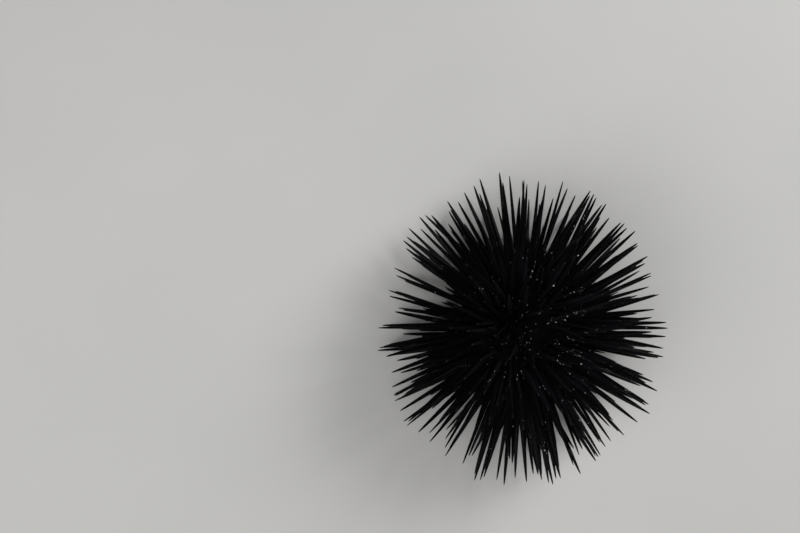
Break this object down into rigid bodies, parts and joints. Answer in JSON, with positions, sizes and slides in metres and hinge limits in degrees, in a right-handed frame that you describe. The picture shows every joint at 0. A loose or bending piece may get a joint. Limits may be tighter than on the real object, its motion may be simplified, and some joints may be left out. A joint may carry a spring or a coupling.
{
  "type": "black sea urchin",
  "caption": "Still life-size black sea urchin: low round shell in ten sectors under dense tapering spines, with top plates, mouth skin and teeth.",
  "frame": {"origin": "middle of the overall box, on the floor that the lower spines rest on", "axes": "+Z up through the plates at the top, +X to the right and +Y up in the picture, which looks down"},
  "size_m": [0.105, 0.113, 0.0538],
  "materials": {
    "shell_and_spines": "black with a faint blue sheen, finely ribbed along the spines",
    "plates": "black, fine-grained",
    "valves": "brownish black, smooth",
    "mouth_skin": "wet, brownish black skin with fine folds",
    "teeth": "ivory, smooth"
  },
  "bodies": {
    "root": {"ambulacrum_1": "shell_and_spines", "ambulacrum_2": "shell_and_spines", "ambulacrum_3": "shell_and_spines", "ambulacrum_4": "shell_and_spines", "ambulacrum_5": "shell_and_spines", "interambulacrum_1": "shell_and_spines", "interambulacrum_2": "shell_and_spines", "interambulacrum_3": "shell_and_spines", "interambulacrum_4": "shell_and_spines", "interambulacrum_5": "shell_and_spines", "apical_disc": "plates", "periproct": "valves", "peristome": "mouth_skin", "tooth_1": "teeth", "tooth_2": "teeth", "tooth_3": "teeth", "tooth_4": "teeth", "tooth_5": "teeth"}
  },
  "joints": []
}
